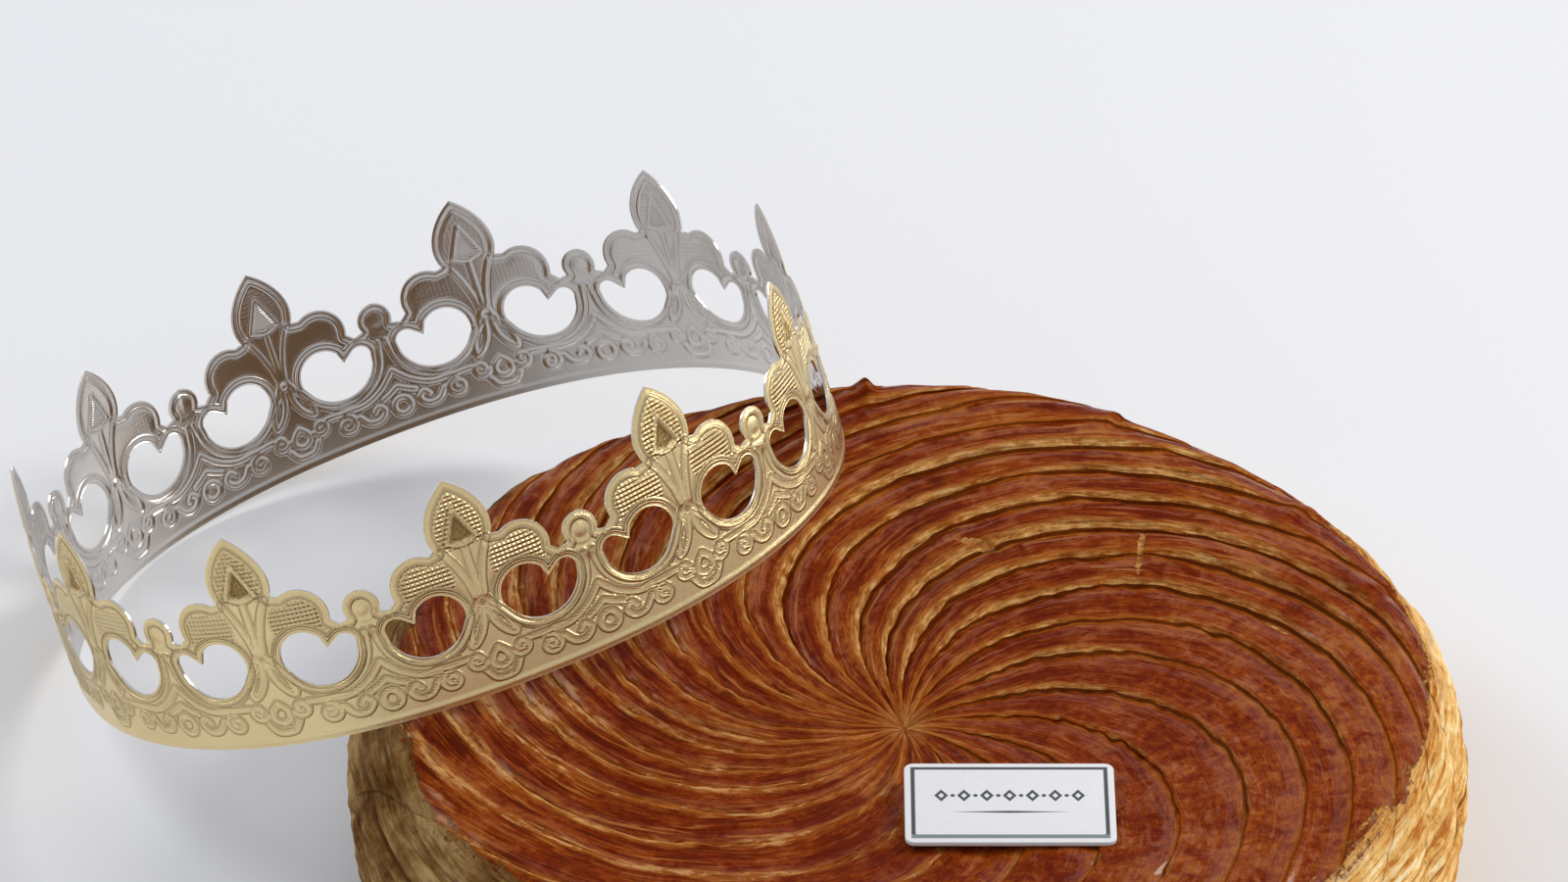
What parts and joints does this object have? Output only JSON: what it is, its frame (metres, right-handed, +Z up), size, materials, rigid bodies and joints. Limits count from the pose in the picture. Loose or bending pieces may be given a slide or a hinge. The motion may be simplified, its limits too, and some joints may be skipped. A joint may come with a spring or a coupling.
{
  "type": "galette des rois with paper crown",
  "caption": "Round puff pastry king cake scored in a swirl, glazed brown, with a card label on top and an embossed gold paper crown leaning on its rim.",
  "frame": {"origin": "on the underside, at the middle of the galette", "axes": "+Z up; -Y towards the side where the label lies; the crown leans on the rim at -X +Y"},
  "size_m": [0.344, 0.3062, 0.1181],
  "materials": {
    "glazed_pastry": "egg-glazed puff pastry crust, glossy red-brown on the ridges",
    "pale_pastry": "unglazed flaky layers of the side, matt golden",
    "white_card": "smooth white card with a thin grey frame",
    "gold_foil": "embossed gold foil on card",
    "silver_foil": "bare silver side of the embossed foil card"
  },
  "bodies": {
    "root": {"galette": "glazed_pastry", "label": "white_card", "crown": "gold_foil"}
  },
  "joints": []
}
